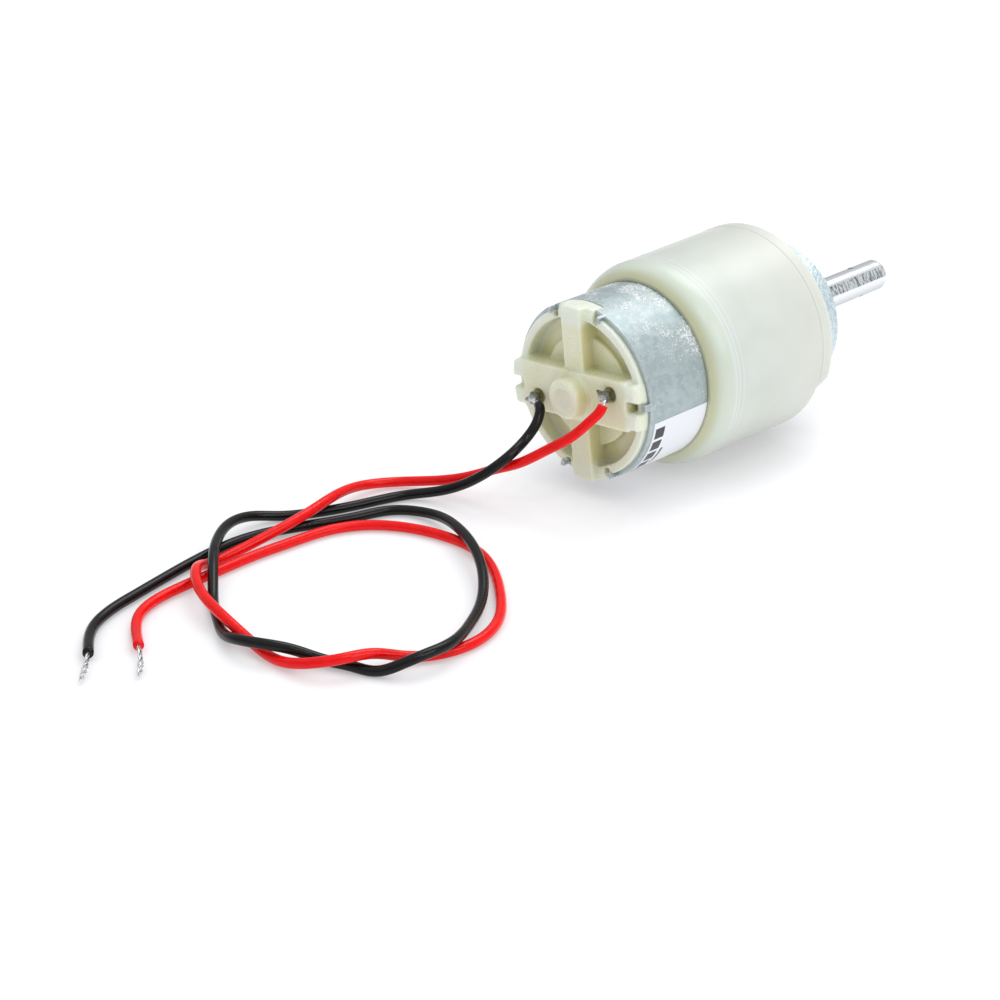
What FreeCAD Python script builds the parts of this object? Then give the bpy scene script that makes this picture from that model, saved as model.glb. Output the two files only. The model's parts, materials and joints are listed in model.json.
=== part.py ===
import FreeCAD, Part
import os
from math import asin, atan2, cos, degrees, pi, radians, sin, sqrt, tan

# Geared dc motor with a round plastic gearbox and a pair of flexible leads. Millimetres.
# +X runs along the output shaft towards its tip, +Z is up. The origin is the centre of the
# front boss's face. Angles around the shaft are in degrees from +Y towards +Z.

# --- driving dimensions ---------------------------------------------------------------
BOSS_R = 13.5
BOSS_LENGTH = 8.6
SHAFT_R = 3.0
SHAFT_TIP_X = 27.5
FLAT_DEPTH = 0.17
FLAT_START_X = 2.6
FLAT_ANGLE = 149.0
CROSS_HOLE_X = 20.2
CROSS_HOLE_R = 1.25
CROSS_HOLE_ANGLE = 61.5

LID_R = 19.2
LID_THICKNESS = 2.9
LID_FLAT_ANGLE = 220.0
LID_FLAT_DISTANCE = 17.3

HOUSING_REAR_R = 18.9
HOUSING_FRONT_R = 19.12
HOUSING_REAR_X = -38.9
HOUSING_CORNER_LENGTH = 4.8
CHAMBER_R = 17.2
SOCKET_GAP = 0.03

CAN_R = 16.0
CAN_WALL = 0.8
CAN_REAR_X = -53.1
CAN_FRONT_X = -29.6

ROTOR_SHAFT_R = 1.0
AXLE_R = 1.0
RUNNING_GAP = 0.04

# The gear train: four pairs, each a ten-tooth pinion and a wheel. The last wheel shares
# the centre line with the motor.
MODULE = 0.5
PRESSURE_ANGLE = 20.0
PROFILE_SHIFT = 0.4
TOOTH_THINNING = 0.05
PINION_TEETH = 10
FIRST_WHEEL_TEETH = 27
SECOND_WHEEL_TEETH = 28
THIRD_WHEEL_TEETH = 28
OUTPUT_WHEEL_TEETH = 27
LAYER_X = (-27.0, -23.2, -19.4, -15.6)
WHEEL_WIDTH = 3.0
WHEEL_RIM = 0.9
WHEEL_HUB_R = 3.4
WHEEL_RECESS = 0.6
COLLAR_R = 1.8
FIRST_AXLE_ANGLE = 187.3

# The end cap's own axes are turned a little about the shaft.
CAP_TURN = -7.5
CAP_SEAT_R = CAN_R - CAN_WALL
CAP_FLOOR_X = -51.2
CAP_INSIDE_X = -50.0
CAP_RING_X = CAN_REAR_X - 0.95
CAP_RING_INNER_R = 13.6
RIB_X = CAN_REAR_X - 2.1
RIB_HALF_WIDTH = 2.4
WEB_X = CAN_REAR_X - 2.7
WEB_HALF_WIDTH = 4.5
WEB_REACH = 12.6
LUG_X = CAN_REAR_X - 2.8
LUG_SPAN = (1.0, 4.05)
END_LUG_X = CAN_REAR_X - 0.6
END_LUG_HALF_WIDTH = 4.2
END_GAP_A = 4.8
ISLAND_R = 10.1
TIER_RADII = (4.2, 3.75)
TIER_X = (WEB_X - 0.4, CAN_REAR_X - 5.5)
TAB_THICKNESS = 0.35

LABEL_ANGLES = (184.7, 335.0)
LABEL_THICKNESS = 0.1

# The inside of the motor: a three-pole rotor between two curved magnets.
MAGNET_X = (-46.0, -33.4)
MAGNET_INNER_R = 11.7
MAGNET_HALF_ANGLE = 65
POLE_ANGLES = (0, 120, 240)
CORE_X = (-44.6, -34.8)
CORE_HUB_R = 3.6
STEM_HALF_WIDTH = 1.6
SHOE_RADII = (9.8, 11.2)
SHOE_HALF_ANGLE = 47
COIL_OVERHANG = 1.4
COIL_REACH = (4.4, 8.8)
COIL_HALF_WIDTH = 4.2
COMMUTATOR_R = 2.4
COMMUTATOR_X = (-49.8, -46.8)
BAR_THICKNESS = 0.5
BAR_HALF_ANGLE = 55

LEAD_R = 0.92
CONDUCTOR_R = 0.45
GROUND_Z = -LID_R
LEAD_Z = GROUND_Z + LEAD_R + 0.02
CROSSING_LIFT = 2.11

# --- worked out from them -------------------------------------------------------------
LID_FRONT_X = -BOSS_LENGTH
LID_REAR_X = LID_FRONT_X - LID_THICKNESS
WEB_REAR_X = CAN_FRONT_X
WEB_FRONT_X = WEB_REAR_X + 1.8
AXLE_CIRCLE_R = MODULE * (PINION_TEETH + FIRST_WHEEL_TEETH) / 2
AXLE_STEP = 2 * degrees(asin(MODULE * (PINION_TEETH + SECOND_WHEEL_TEETH) / 4 / AXLE_CIRCLE_R))
AXLE_ANGLES = [FIRST_AXLE_ANGLE + i * AXLE_STEP for i in range(3)]
PILLAR_CIRCLE_R = 16.4
PILLAR_R = 1.8
PILLAR_ANGLES = (40.0, 160.0, 280.0)
LID_SCREW_R = 0.95
LID_SCREW_END_X = -20.0
MOTOR_SCREW_CIRCLE_R = 12.5
MOTOR_SCREW_ANGLES = (FIRST_AXLE_ANGLE + 90, FIRST_AXLE_ANGLE + 270)
MOTOR_SCREW_R = 1.3
BOSS_SCREW_CIRCLE_R = 10.9
BOSS_SCREW_ANGLES = (30.0, 150.0, 270.0)
BOSS_SCREW_R = 1.0
SCREW_SLOT_HALF_WIDTH = 0.2
SCREW_SLOT_DEPTH = 0.5
MOUNT_CIRCLE_R = 10.0
MOUNT_HOLE_ANGLES = (90.0, 210.0, 330.0)
MOUNT_HOLE_R = 1.25
MOUNT_HOLE_DEPTH = 6.5
OUTPUT_BUSH_R = 5.0
BOSS_HUB_R = 6.45
BUSH_REAR_X = -12.3
BUSH_FRONT_X = -1.3
RING_X = (-1.1, -0.3)
RING_GROOVE_R = 2.4
MOTOR_BUSH_R = 2.5
REAR_BUSH_X = (-56.6, -53.6)
FRONT_BUSH_X = (-31.6, -28.6)
CAN_BOSS_R = 3.5
CAN_BOSS_X = -28.4
TERMINAL_A = 8.95
TERMINAL_B = 1.75
TERMINAL_WELL_R = 1.35
SOLDER_X = CAN_REAR_X - 3.85
SOLDER_R = 1.45


# --- shape helpers --------------------------------------------------------------------
def vec(x, y, z):
    return FreeCAD.Vector(x, y, z)


X_AXIS = vec(1, 0, 0)
ORIGIN = vec(0, 0, 0)


def polar(radius, angle, x=0.0):
    """The point at a radius and angle around the shaft."""
    return vec(x, radius * cos(radians(angle)), radius * sin(radians(angle)))


def rod(x0, x1, radius, centre=ORIGIN):
    """A solid cylinder along X from x0 to x1, round a centre in the YZ plane."""
    return Part.makeCylinder(radius, x1 - x0, vec(x0, centre.y, centre.z), X_AXIS)


def tube(x0, x1, outer, inner, centre=ORIGIN):
    return rod(x0, x1, outer, centre).cut(rod(x0 - 1, x1 + 1, inner, centre))


def cone(x0, x1, r0, r1, centre=ORIGIN):
    return Part.makeCone(r0, r1, x1 - x0, vec(x0, centre.y, centre.z), X_AXIS)


def box(x0, x1, y0, y1, z0, z1):
    return Part.makeBox(x1 - x0, y1 - y0, z1 - z0, vec(x0, y0, z0))


def fuse(shapes):
    return shapes[0].multiFuse(shapes[1:]).removeSplitter()


def turned(edges):
    """A solid of revolution round the shaft from a closed outline of (x, radius) edges."""
    face = Part.Face(Part.Wire(edges))
    return face.revolve(ORIGIN, X_AXIS, 360)


def outline(points):
    """A closed outline of straight edges through (x, radius) points.

    Four numbers (x, radius, x, radius) make an arc instead, through the first point to the
    second.
    """
    edges = []
    last = vec(points[0][0], 0, points[0][1])
    for point in points[1:] + points[:1]:
        if len(point) == 4:
            middle = vec(point[0], 0, point[1])
            end = vec(point[2], 0, point[3])
            edges.append(Part.Arc(last, middle, end).toShape())
        else:
            end = vec(point[0], 0, point[1])
            edges.append(Part.makeLine(last, end))
        last = end
    return edges


def spin(shape, angle):
    """A copy turned about the shaft."""
    copy = shape.copy()
    copy.rotate(ORIGIN, X_AXIS, angle)
    return copy


def sector(x0, x1, outer, inner, start, end):
    """A curved block between two radii and two angles."""
    a, b = polar(outer, start, x0), polar(outer, end, x0)
    c, d = polar(inner, end, x0), polar(inner, start, x0)
    middle = (start + end) / 2
    edges = [
        Part.Arc(a, polar(outer, middle, x0), b).toShape(),
        Part.makeLine(b, c),
        Part.Arc(c, polar(inner, middle, x0), d).toShape(),
        Part.makeLine(d, a),
    ]
    return Part.Face(Part.Wire(edges)).extrude(vec(x1 - x0, 0, 0))


def cap_box(x0, x1, a0, a1, b0, b1):
    """A block in the end cap's own axes: a to the right seen from behind, b upwards."""
    return box(x0, x1, -a1, -a0, b0, b1)


def cap_point(a, b, x=0.0):
    return vec(x, -a, b)


def countersunk_screw(x_head, direction, centre, radius, head_r, length):
    """A flat-headed screw with its head flush at x_head, pointing along direction."""
    head_height = head_r - radius
    x_neck = x_head + direction * head_height
    x_tip = x_head + direction * length
    if direction > 0:
        return fuse([
            cone(x_head, x_neck, head_r, radius, centre),
            rod(x_neck, x_tip, radius, centre),
        ])
    return fuse([
        cone(x_neck, x_head, radius, head_r, centre),
        rod(x_tip, x_neck, radius, centre),
    ])


# --- gears ----------------------------------------------------------------------------
def involute_point(base_r, radius, half_angle):
    """A point of a tooth's flank; half_angle is where the flank leaves the base circle."""
    if radius <= base_r:
        return radius, half_angle
    roll = sqrt((radius / base_r) ** 2 - 1)
    return radius, half_angle - (roll - atan2(roll, 1))


def gear_face(teeth, shift, phase):
    """The flat outline of an involute gear; phase turns a tooth's centre to that angle."""
    pitch_r = MODULE * teeth / 2
    base_r = pitch_r * cos(radians(PRESSURE_ANGLE))
    tip_r = MODULE * (teeth / 2 + 1 + shift)
    root_r = MODULE * (teeth / 2 - 1.25 + shift)
    tooth = MODULE * (pi / 2 + 2 * shift * tan(radians(PRESSURE_ANGLE))) - TOOTH_THINNING
    alpha = radians(PRESSURE_ANGLE)
    half_angle = tooth / 2 / pitch_r + tan(alpha) - alpha
    flank_start = max(base_r, root_r)
    radii = [flank_start + (tip_r - flank_start) * i / 4 for i in range(5)]
    edges = []
    for number in range(teeth):
        centre = radians(phase) + 2 * pi * number / teeth
        rising = [involute_point(base_r, r, half_angle) for r in radii]
        points = [polar(r, degrees(centre - t)) for r, t in rising]
        falling = [polar(r, degrees(centre + t)) for r, t in reversed(rising)]
        next_centre = centre + 2 * pi / teeth
        root_a = polar(root_r, degrees(centre - half_angle))
        root_b = polar(root_r, degrees(centre + half_angle))
        root_c = polar(root_r, degrees(next_centre - half_angle))
        middle = polar(root_r, degrees(centre + pi / teeth))
        if root_r < flank_start:
            edges.append(Part.makeLine(root_a, points[0]))
        edges.append(flank(points))
        edges.append(Part.Arc(points[-1], polar(tip_r, degrees(centre)), falling[0]).toShape())
        edges.append(flank(falling))
        if root_r < flank_start:
            edges.append(Part.makeLine(falling[-1], root_b))
        start = root_b if root_r < flank_start else falling[-1]
        end = root_c
        if root_r >= flank_start:
            first_t = involute_point(base_r, radii[0], half_angle)[1]
            end = polar(root_r, degrees(next_centre - first_t))
        edges.append(Part.Arc(start, middle, end).toShape())
    return Part.Face(Part.Wire(edges))


def flank(points):
    curve = Part.BSplineCurve()
    curve.interpolate(points)
    return curve.toShape()


def gear(teeth, shift, phase, x0, x1, bore_r):
    """An involute gear round the shaft axis, with a tooth at the angle phase."""
    face = gear_face(teeth, shift, phase)
    solid = face.extrude(vec(x1 - x0, 0, 0))
    solid.translate(vec(x0, 0, 0))
    return solid.cut(rod(x0 - 1, x1 + 1, bore_r))


def wheel_phase(teeth, towards):
    """The phase that puts a gap between teeth at the angle towards."""
    return towards + 180.0 / teeth


def angle_from(start, end):
    return degrees(atan2(end.z - start.z, end.y - start.y))


def at(shape, centre):
    shape.translate(vec(0, centre.y, centre.z))
    return shape


def wheel_body(teeth, towards, layer, bore_r):
    """A wheel lightened by a turned recess on each face."""
    x0 = LAYER_X[layer]
    x1 = x0 + WHEEL_WIDTH
    wheel = gear(teeth, -PROFILE_SHIFT, wheel_phase(teeth, towards), x0, x1, bore_r)
    rim_r = MODULE * (teeth / 2 - 1.25 - PROFILE_SHIFT) - WHEEL_RIM
    for a, b in ((x0 - 1, x0 + WHEEL_RECESS), (x1 - WHEEL_RECESS, x1 + 1)):
        wheel = wheel.cut(tube(a, b, rim_r, WHEEL_HUB_R))
    return wheel


def compound_gear(teeth, layer, axle, before, after, rear_x, front_x):
    """A wheel and pinion in one moulding, running free on its axle."""
    bore_r = AXLE_R + RUNNING_GAP
    pinion_x = LAYER_X[layer] + WHEEL_WIDTH
    pinion_end = LAYER_X[layer + 1] + WHEEL_WIDTH + 0.2
    phase = angle_from(axle, after)
    wheel = wheel_body(teeth, angle_from(axle, before), layer, bore_r)
    pinion = gear(PINION_TEETH, PROFILE_SHIFT, phase, pinion_x, pinion_end, bore_r)
    parts = [wheel, pinion, tube(pinion_end, front_x, COLLAR_R, bore_r)]
    if rear_x < LAYER_X[layer]:
        parts.append(tube(rear_x, LAYER_X[layer], COLLAR_R, bore_r))
    return at(fuse(parts), axle)


# --- gearbox --------------------------------------------------------------------------
AXLES = [polar(AXLE_CIRCLE_R, angle) for angle in AXLE_ANGLES]
PILLARS = [polar(PILLAR_CIRCLE_R, angle) for angle in PILLAR_ANGLES]


def gearbox_housing():
    """The milky cup: a socket for the motor behind, a web, and the gear chamber in front."""
    corner_x = HOUSING_REAR_X + HOUSING_CORNER_LENGTH
    socket_r = CAN_R + SOCKET_GAP
    shell = turned(outline([
        (HOUSING_REAR_X, socket_r),
        (HOUSING_REAR_X, 16.7),
        (HOUSING_REAR_X + 1.5, 18.1, corner_x, HOUSING_REAR_R),
        (LID_REAR_X, HOUSING_FRONT_R),
        (LID_REAR_X, CHAMBER_R),
        (WEB_FRONT_X, CHAMBER_R),
        (WEB_FRONT_X, CAN_BOSS_R + 0.1),
        (WEB_REAR_X, CAN_BOSS_R + 0.1),
        (WEB_REAR_X, socket_r),
    ]))
    inside = rod(WEB_REAR_X, LID_REAR_X, CHAMBER_R + 0.8)
    pillars = [rod(WEB_FRONT_X - 0.5, LID_REAR_X, PILLAR_R, centre) for centre in PILLARS]
    shell = fuse([shell] + [pillar.common(inside) for pillar in pillars])
    cuts = [rod(LID_SCREW_END_X - 0.5, LID_REAR_X + 1, LID_SCREW_R, centre) for centre in PILLARS]
    cuts += [rod(WEB_FRONT_X - 1.2, WEB_FRONT_X + 1, AXLE_R, axle) for axle in AXLES]
    cuts += [motor_screw(a) for a in MOTOR_SCREW_ANGLES]
    return shell.cut(cuts)


def motor_screw(angle):
    return countersunk_screw(
        WEB_FRONT_X, -1, polar(MOTOR_SCREW_CIRCLE_R, angle), MOTOR_SCREW_R, 2.3, 4.2
    )


def screw_slot(x0, x1, centre):
    """A driver slot across a screw's head."""
    half = SCREW_SLOT_HALF_WIDTH
    return box(x0, x1, centre.y - 3, centre.y + 3, centre.z - half, centre.z + half)


def motor_screws():
    screws = []
    for angle in MOTOR_SCREW_ANGLES:
        centre = polar(MOTOR_SCREW_CIRCLE_R, angle)
        slot = screw_slot(WEB_FRONT_X - SCREW_SLOT_DEPTH, WEB_FRONT_X + 1, centre)
        screws.append(motor_screw(angle).cut(slot))
    return Part.makeCompound(screws)


def boss_screw(angle):
    centre = polar(BOSS_SCREW_CIRCLE_R, angle)
    return countersunk_screw(LID_REAR_X, 1, centre, BOSS_SCREW_R, 1.9, 7.2)


def boss_screws():
    screws = []
    for angle in BOSS_SCREW_ANGLES:
        centre = polar(BOSS_SCREW_CIRCLE_R, angle)
        slot = screw_slot(LID_REAR_X - 1, LID_REAR_X + SCREW_SLOT_DEPTH, centre)
        screws.append(boss_screw(angle).cut(slot))
    return Part.makeCompound(screws)


def gearbox_lid():
    """The front disc, with a locating ring inside the housing and one flat on its rim."""
    hub_r = BOSS_HUB_R + 0.05
    lid = turned(outline([
        (LID_REAR_X, hub_r),
        (LID_REAR_X, CHAMBER_R - 1.0),
        (LID_REAR_X - 1.2, CHAMBER_R - 1.0),
        (LID_REAR_X - 1.2, CHAMBER_R - 0.05),
        (LID_REAR_X, CHAMBER_R - 0.05),
        (LID_REAR_X, LID_R - 0.08),
        (LID_REAR_X + 0.08, LID_R),
        (LID_FRONT_X - 0.6, LID_R),
        (LID_FRONT_X - 0.2, LID_R - 0.18, LID_FRONT_X, LID_R - 0.6),
        (LID_FRONT_X, hub_r),
    ]))
    flat = box(LID_REAR_X, LID_FRONT_X + 1, LID_FLAT_DISTANCE, LID_R + 2, -LID_R, LID_R)
    cuts = [spin(flat, LID_FLAT_ANGLE)]
    cuts += [rod(LID_REAR_X - 1, LID_REAR_X + 1.9, AXLE_R, axle) for axle in AXLES]
    cuts += [rod(LID_REAR_X - 2, LID_REAR_X, PILLAR_R + 0.15, centre) for centre in PILLARS]
    cuts += [rod(LID_REAR_X - 2, LID_FRONT_X + 1, LID_SCREW_R + 0.15, centre) for centre in PILLARS]
    cuts += [boss_screw(a) for a in BOSS_SCREW_ANGLES]
    return lid.cut(cuts)


def lid_screws():
    """Pan-headed screws that hold the lid, with a cross recess in each head."""
    head_r = 1.7
    head_height = 1.1
    screws = []
    for centre in PILLARS:
        head = rod(LID_FRONT_X, LID_FRONT_X + head_height, head_r, centre)
        head = head.makeFillet(0.6, [head.Edges[0]])
        screw = fuse([head, rod(LID_SCREW_END_X, LID_FRONT_X, LID_SCREW_R, centre)])
        for half_y, half_z in ((0.95, 0.18), (0.18, 0.95)):
            slot = box(LID_FRONT_X + 0.5, LID_FRONT_X + 2, -half_y, half_y, -half_z, half_z)
            screw = screw.cut(at(slot, centre))
        screws.append(screw)
    return Part.makeCompound(screws)


def front_boss():
    """The cast metal bearing housing in front of the lid, with its threaded mounting holes."""
    boss = turned(outline([
        (BUSH_REAR_X, OUTPUT_BUSH_R),
        (BUSH_REAR_X, BOSS_HUB_R),
        (LID_FRONT_X, BOSS_HUB_R),
        (LID_FRONT_X, BOSS_R),
        (-0.5, BOSS_R),
        (0, BOSS_R - 0.5),
        (0, OUTPUT_BUSH_R),
    ]))
    cuts = [boss_screw(a) for a in BOSS_SCREW_ANGLES]
    for angle in MOUNT_HOLE_ANGLES:
        cuts.append(rod(-MOUNT_HOLE_DEPTH, 1, MOUNT_HOLE_R, polar(MOUNT_CIRCLE_R, angle)))
    return boss.cut(cuts)


def output_bush():
    return tube(BUSH_REAR_X, BUSH_FRONT_X, OUTPUT_BUSH_R, SHAFT_R + RUNNING_GAP)


def axle_pin(axle):
    return rod(WEB_FRONT_X - 1.1, LID_REAR_X + 1.8, AXLE_R, axle)


# --- output shaft ---------------------------------------------------------------------
def output_shaft():
    """The shaft with its rounded tip, shallow flat, cross hole and ring groove."""
    rear_x = LAYER_X[3]
    shaft = turned(outline([
        (rear_x, 0),
        (rear_x, SHAFT_R - 0.3),
        (rear_x + 0.3, SHAFT_R),
        (RING_X[0], SHAFT_R),
        (RING_X[0], RING_GROOVE_R),
        (RING_X[1], RING_GROOVE_R),
        (RING_X[1], SHAFT_R),
        (SHAFT_TIP_X - 0.9, SHAFT_R),
        (SHAFT_TIP_X - 0.25, SHAFT_R - 0.3, SHAFT_TIP_X, SHAFT_R - 0.9),
        (SHAFT_TIP_X, 0),
    ]))
    floor = SHAFT_R - FLAT_DEPTH
    flat = box(FLAT_START_X, SHAFT_TIP_X + 1, floor, SHAFT_R + 1, -SHAFT_R, SHAFT_R)
    side = vec(CROSS_HOLE_X, -2 * SHAFT_R, 0)
    across = Part.makeCylinder(CROSS_HOLE_R, 4 * SHAFT_R, side, vec(0, 1, 0))
    return shaft.cut([spin(flat, FLAT_ANGLE), spin(across, CROSS_HOLE_ANGLE)])


def retaining_ring():
    ring = tube(RING_X[0], RING_X[1], SHAFT_R + 1.3, RING_GROOVE_R)
    return ring.cut(box(RING_X[0] - 1, RING_X[1] + 1, 0, SHAFT_R + 2, -1.2, 1.2))


def output_gear():
    towards = angle_from(ORIGIN, AXLES[2])
    return wheel_body(OUTPUT_WHEEL_TEETH, towards, 3, SHAFT_R)


# --- motor ----------------------------------------------------------------------------
def motor_can():
    """The drawn steel can: open behind, with notches and bent tabs that hold the end cap."""
    can = turned(outline([
        (CAN_REAR_X, CAP_SEAT_R),
        (CAN_REAR_X, CAN_R - 0.2),
        (CAN_REAR_X + 0.2, CAN_R),
        (CAN_FRONT_X - 1.2, CAN_R),
        (CAN_FRONT_X - 0.35, CAN_R - 0.35, CAN_FRONT_X, CAN_R - 1.2),
        (CAN_FRONT_X, CAN_BOSS_R),
        (CAN_BOSS_X, CAN_BOSS_R),
        (CAN_BOSS_X, MOTOR_BUSH_R),
        (CAN_FRONT_X - 1.0, MOTOR_BUSH_R),
        (CAN_FRONT_X - 1.0, CAP_SEAT_R),
    ]))
    notch_half = END_LUG_HALF_WIDTH + 0.1
    notch = cap_box(CAN_REAR_X - 1, CAN_REAR_X + 2.3, -notch_half, notch_half, 14, 17)
    cuts = [spin(notch, turn + CAP_TURN) for turn in (0, 180)]
    cuts += [motor_screw(a) for a in MOTOR_SCREW_ANGLES]
    tabs = [bent_tab(0, 14.9, 0.6)]
    tabs += [bent_tab(turn, 14.8, 0.3) for turn in (67.5, 112.5, 247.5, 292.5)]
    return fuse([can.cut(cuts)] + tabs)


def bent_tab(turn, reach_r, half_width):
    """A tongue of the can's rim, folded over the end cap's ring as far in as reach_r."""
    rear_x = CAP_RING_X - 0.02 - TAB_THICKNESS
    front_x = rear_x + TAB_THICKNESS
    tongue = cap_box(rear_x, front_x, reach_r, CAN_R - 0.1, -half_width, half_width)
    seat_r = CAP_SEAT_R + 0.02
    stem = cap_box(rear_x, CAN_REAR_X + 0.5, seat_r, CAN_R - 0.05, -half_width, half_width)
    return spin(tongue.fuse(stem), turn + CAP_TURN)


def end_cap():
    """The moulded rear cover: ring, rib, web, four pockets, lugs and the stepped boss."""
    base = rod(CAP_FLOOR_X, CAP_INSIDE_X, CAP_SEAT_R)
    ring = tube(CAP_RING_X, CAP_INSIDE_X + 0.8, CAP_SEAT_R, CAP_RING_INNER_R)
    island = rod(CAP_FLOOR_X - 1.1, CAP_INSIDE_X, ISLAND_R)
    disc = rod(LUG_X, CAP_INSIDE_X, CAP_SEAT_R)
    rib = cap_box(RIB_X, CAP_INSIDE_X, -RIB_HALF_WIDTH, RIB_HALF_WIDTH, -CAN_R, CAN_R)
    web = cap_box(WEB_X, CAP_INSIDE_X, -WEB_REACH, WEB_REACH, -WEB_HALF_WIDTH, WEB_HALF_WIDTH)
    parts = [base, ring, island, rib.common(disc), web]
    for turn in (0, 180):
        upper = rounded_lug(LUG_SPAN[0], LUG_SPAN[1])
        lower = rounded_lug(-LUG_SPAN[1], -LUG_SPAN[0])
        parts += [spin(lug, turn) for lug in (upper, lower, end_lug())]
    lower_tier = rod(TIER_X[0], CAP_INSIDE_X, TIER_RADII[0])
    upper_tier = rod(TIER_X[1], CAP_INSIDE_X, TIER_RADII[1])
    upper_tier = upper_tier.makeFillet(0.8, [upper_tier.Edges[2]])
    cap = fuse(parts + [lower_tier, upper_tier])
    return spin(cap.cut(cap_holes()), CAP_TURN)


def cap_holes():
    """What is taken out of the end cap, in its own axes."""
    dimple = cone(TIER_X[1] - 0.1, TIER_X[1] + 0.3, 2.1, 1.7)
    bush_seat = rod(REAR_BUSH_X[0], CAP_INSIDE_X + 2, MOTOR_BUSH_R)
    shaft_room = rod(REAR_BUSH_X[0] - 0.8, CAP_INSIDE_X, ROTOR_SHAFT_R + 0.3)
    holes = [dimple, bush_seat, shaft_room]
    for turn in (0, 180):
        well = rod(WEB_X - 1, WEB_X + 1.3, TERMINAL_WELL_R, cap_point(TERMINAL_A, TERMINAL_B))
        holes += [spin(well, turn), spin(terminal_blade(0.03), turn)]
        for a in (-END_GAP_A, END_GAP_A):
            gap = cap_box(CAP_RING_X - 1, CAP_FLOOR_X, a - 0.6, a + 0.6, 13.0, 15.3)
            holes.append(spin(gap, turn))
    return holes


def end_lug():
    """What fills a notch in the can's rim: a low block with the rib's end on top of it."""
    blocks = []
    for rear_x, half in ((END_LUG_X, END_LUG_HALF_WIDTH), (RIB_X, RIB_HALF_WIDTH)):
        blocks.append(cap_box(rear_x, CAN_REAR_X + 2.2, -half, half, 13.3, CAN_R + 0.5))
    return fuse(blocks).common(rod(RIB_X, CAN_REAR_X + 3, CAN_R - 0.02))


def rounded_lug(b0, b1):
    """One of the soft-cornered lugs at the end of the cap's web."""
    lug = cap_box(LUG_X, CAP_INSIDE_X - 0.6, 11.8, CAN_R, b0, b1)
    lug = lug.common(rod(LUG_X, CAP_INSIDE_X, CAN_R - 0.6))
    over_rim = tube(CAN_REAR_X - 0.02, CAP_INSIDE_X, CAN_R + 1, CAP_SEAT_R - 0.02)
    lug = lug.cut(over_rim)
    edges = [e for e in lug.Edges if e.BoundBox.XMax < LUG_X + 0.01]
    return lug.makeFillet(0.7, edges)


def terminal_blade(grow=0.0):
    """The flat tinned terminal that passes through the cap, in the cap's own axes."""
    return cap_box(
        CAN_REAR_X - 4.3 - grow, CAP_INSIDE_X + 2.0 + grow,
        TERMINAL_A - 0.2 - grow, TERMINAL_A + 0.2 + grow,
        TERMINAL_B - 0.9 - grow, TERMINAL_B + 0.9 + grow,
    )


def brush():
    """A bent bronze leaf from the terminal to the commutator's side."""
    x0, x1 = CAP_INSIDE_X + 0.6, CAP_INSIDE_X + 2.6
    reach = COMMUTATOR_R + 0.05
    leaf = cap_box(x0, x1, reach, reach + 0.3, -3.0, 4.8)
    arm = cap_box(x0, x1, reach, TERMINAL_A + 0.2, 4.5, 4.8)
    riser = cap_box(x0, x1 - 0.8, TERMINAL_A - 0.2, TERMINAL_A + 0.2, TERMINAL_B + 0.9, 4.8)
    return fuse([leaf, arm, riser])


def motor_bush(span):
    return tube(span[0], span[1], MOTOR_BUSH_R, ROTOR_SHAFT_R + RUNNING_GAP)


def field_magnets():
    """Two curved magnets against the can's wall."""
    half = MAGNET_HALF_ANGLE
    return Part.makeCompound([
        sector(MAGNET_X[0], MAGNET_X[1], CAP_SEAT_R, MAGNET_INNER_R, middle - half, middle + half)
        for middle in (0, 180)
    ])


def rotor_core():
    """Three poles with wide shoes on a round hub."""
    x0, x1 = CORE_X
    half = STEM_HALF_WIDTH
    stem = box(x0, x1, 0, (SHOE_RADII[0] + SHOE_RADII[1]) / 2, -half, half)
    shoe = sector(x0, x1, SHOE_RADII[1], SHOE_RADII[0], -SHOE_HALF_ANGLE, SHOE_HALF_ANGLE)
    poles = [spin(piece, turn) for turn in POLE_ANGLES for piece in (stem, shoe)]
    core = fuse([rod(x0, x1, CORE_HUB_R)] + poles)
    return core.cut(rod(x0 - 1, x1 + 1, ROTOR_SHAFT_R))


def rotor_windings():
    """A block of enamelled wire round each stem, bulging past the core at both ends."""
    x0, x1 = CORE_X[0] - COIL_OVERHANG, CORE_X[1] + COIL_OVERHANG
    inner, outer = COIL_REACH
    block = box(x0, x1, inner, outer, -COIL_HALF_WIDTH, COIL_HALF_WIDTH)
    corners = [e for e in block.Edges if abs(e.Length - (outer - inner)) < 0.01]
    block = block.makeFillet(1.2, corners)
    stem = box(CORE_X[0], CORE_X[1], inner - 1, outer + 1, -STEM_HALF_WIDTH, STEM_HALF_WIDTH)
    coil = block.cut(stem)
    return Part.makeCompound([spin(coil, turn) for turn in POLE_ANGLES])


def commutator():
    """Three copper bars on an insulating sleeve."""
    x0, x1 = COMMUTATOR_X
    inner_r = COMMUTATOR_R - BAR_THICKNESS
    sleeve = tube(x0, x1 + 0.6, inner_r, ROTOR_SHAFT_R)
    bar = sector(x0 + 0.2, x1, COMMUTATOR_R, inner_r, -BAR_HALF_ANGLE, BAR_HALF_ANGLE)
    return Part.makeCompound([sleeve] + [spin(bar, turn) for turn in POLE_ANGLES])


def motor_pinion():
    phase = angle_from(ORIGIN, AXLES[0])
    x0 = LAYER_X[0]
    return gear(PINION_TEETH, PROFILE_SHIFT, phase, x0, x0 + WHEEL_WIDTH, ROTOR_SHAFT_R)


def can_label():
    """The thin paper label wrapped round the underside of the can."""
    start, end = LABEL_ANGLES
    x0, x1 = CAN_REAR_X + 0.9, HOUSING_REAR_X - 0.05
    return sector(x0, x1, CAN_R + LABEL_THICKNESS, CAN_R, start, end)


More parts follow.
